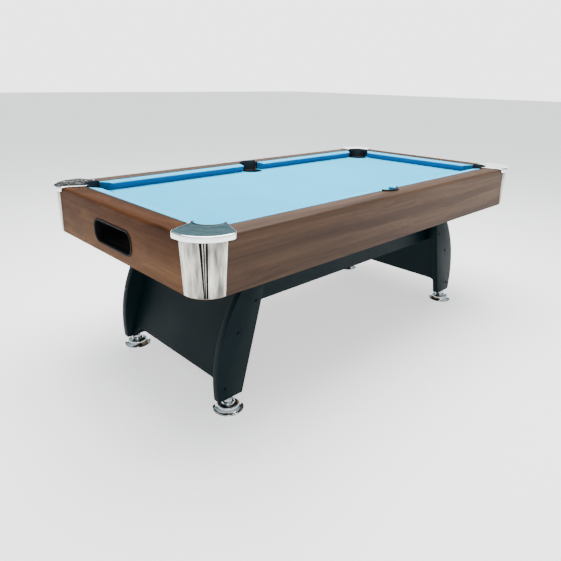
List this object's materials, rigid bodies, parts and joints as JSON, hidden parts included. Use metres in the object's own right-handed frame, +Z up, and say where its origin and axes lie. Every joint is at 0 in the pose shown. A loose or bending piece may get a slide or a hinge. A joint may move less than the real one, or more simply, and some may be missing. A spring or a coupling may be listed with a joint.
{
  "type": "pool table",
  "caption": "Home pool table: blue-clothed bed in wood-look rails and aprons, chrome corners, lined pockets feeding a ball tray behind an end window, bowed panel legs on screw feet.",
  "frame": {"origin": "on the floor, under the middle of the table", "axes": "+X along the table's length, towards the end with no window; the ball-return window is in the -X end; +Y across the width; +Z up"},
  "size_m": [2.115, 1.135, 0.789],
  "materials": {
    "walnut_laminate": "satin wood-grain laminate on fibreboard",
    "charcoal_laminate": "satin slate-grey laminate on fibreboard",
    "raw_fibreboard": "uncoated medium-density fibreboard",
    "blue_cloth": "woven, napped, matt",
    "cloth_over_rubber": "moulded rubber covered in the same woven cloth",
    "black_plastic": "fine-textured moulded plastic",
    "chrome_plate": "polished chrome plate",
    "zinc_steel": "zinc-plated steel"
  },
  "bodies": {
    "table": {"apron_end_head": "walnut_laminate", "apron_end_return": "walnut_laminate", "apron_side_far": "walnut_laminate", "apron_side_near": "walnut_laminate", "ball_chute_far": "black_plastic", "ball_chute_near": "black_plastic", "ball_gully_far": "black_plastic", "ball_gully_near": "black_plastic", "ball_tray": "black_plastic", "bed_cloth": "blue_cloth", "bed_crossbar": "raw_fibreboard", "corner_cap_head_far": "chrome_plate", "corner_cap_head_near": "chrome_plate", "corner_cap_return_far": "chrome_plate", "corner_cap_return_near": "chrome_plate", "corner_cover_head_far": "chrome_plate", "corner_cover_head_near": "chrome_plate", "corner_cover_return_far": "chrome_plate", "corner_cover_return_near": "chrome_plate", "corner_post_head_far": "raw_fibreboard", "corner_post_head_near": "raw_fibreboard", "corner_post_return_far": "raw_fibreboard", "corner_post_return_near": "raw_fibreboard", "cushion_end_head": "cloth_over_rubber", "cushion_end_return": "cloth_over_rubber", "cushion_far_head": "cloth_over_rubber", "cushion_far_return": "cloth_over_rubber", "cushion_near_head": "cloth_over_rubber", "cushion_near_return": "cloth_over_rubber", "leg_beam_head": "raw_fibreboard", "leg_beam_return": "raw_fibreboard", "leg_end_panel_head": "charcoal_laminate", "leg_end_panel_return": "charcoal_laminate", "leg_panel_head_far": "charcoal_laminate", "leg_panel_head_near": "charcoal_laminate", "leg_panel_return_far": "charcoal_laminate", "leg_panel_return_near": "charcoal_laminate", "playing_bed": "raw_fibreboard", "pocket_liner_head_far": "black_plastic", "pocket_liner_head_near": "black_plastic", "pocket_liner_return_far": "black_plastic", "pocket_liner_return_near": "black_plastic", "pocket_liner_side_far": "black_plastic", "pocket_liner_side_near": "black_plastic", "return_window_trim": "black_plastic", "stretcher_far": "charcoal_laminate", "stretcher_near": "charcoal_laminate", "top_rail_end_head": "walnut_laminate", "top_rail_end_return": "walnut_laminate", "top_rail_side_far": "walnut_laminate", "top_rail_side_near": "walnut_laminate"},
    "pad_return_near": {"foot_pad_return_near": "chrome_plate"},
    "stem_return_near": {"foot_stem_return_near": "zinc_steel"},
    "pad_return_far": {"foot_pad_return_far": "chrome_plate"},
    "stem_return_far": {"foot_stem_return_far": "zinc_steel"},
    "pad_head_near": {"foot_pad_head_near": "chrome_plate"},
    "stem_head_near": {"foot_stem_head_near": "zinc_steel"},
    "pad_head_far": {"foot_pad_head_far": "chrome_plate"},
    "stem_head_far": {"foot_stem_head_far": "zinc_steel"}
  },
  "joints": [
    {"name": "pad_slide_return_near", "type": "slide", "parent": "table", "child": "pad_return_near", "axis": [0, 0, -1], "range_m": [0, 0.02]},
    {"name": "stem_turn_return_near", "type": "hinge", "parent": "pad_return_near", "child": "stem_return_near", "pos_m": [-0.804, -0.356, 0.055], "axis": [0, 0, -1], "range_deg": [0, 4801]},
    {"name": "pad_slide_return_far", "type": "slide", "parent": "table", "child": "pad_return_far", "axis": [0, 0, -1], "range_m": [0, 0.02]},
    {"name": "stem_turn_return_far", "type": "hinge", "parent": "pad_return_far", "child": "stem_return_far", "pos_m": [-0.804, 0.356, 0.055], "axis": [0, 0, -1], "range_deg": [0, 4801]},
    {"name": "pad_slide_head_near", "type": "slide", "parent": "table", "child": "pad_head_near", "axis": [0, 0, -1], "range_m": [0, 0.02]},
    {"name": "stem_turn_head_near", "type": "hinge", "parent": "pad_head_near", "child": "stem_head_near", "pos_m": [0.804, -0.356, 0.055], "axis": [0, 0, -1], "range_deg": [0, 4801]},
    {"name": "pad_slide_head_far", "type": "slide", "parent": "table", "child": "pad_head_far", "axis": [0, 0, -1], "range_m": [0, 0.02]},
    {"name": "stem_turn_head_far", "type": "hinge", "parent": "pad_head_far", "child": "stem_head_far", "pos_m": [0.804, 0.356, 0.055], "axis": [0, 0, -1], "range_deg": [0, 4801]}
  ],
  "couplings": [
    {"joint": "stem_turn_return_near", "follows": "pad_slide_return_near", "rad_per_m": 4188.8},
    {"joint": "stem_turn_return_far", "follows": "pad_slide_return_far", "rad_per_m": 4188.8},
    {"joint": "stem_turn_head_near", "follows": "pad_slide_head_near", "rad_per_m": 4188.8},
    {"joint": "stem_turn_head_far", "follows": "pad_slide_head_far", "rad_per_m": 4188.8}
  ]
}
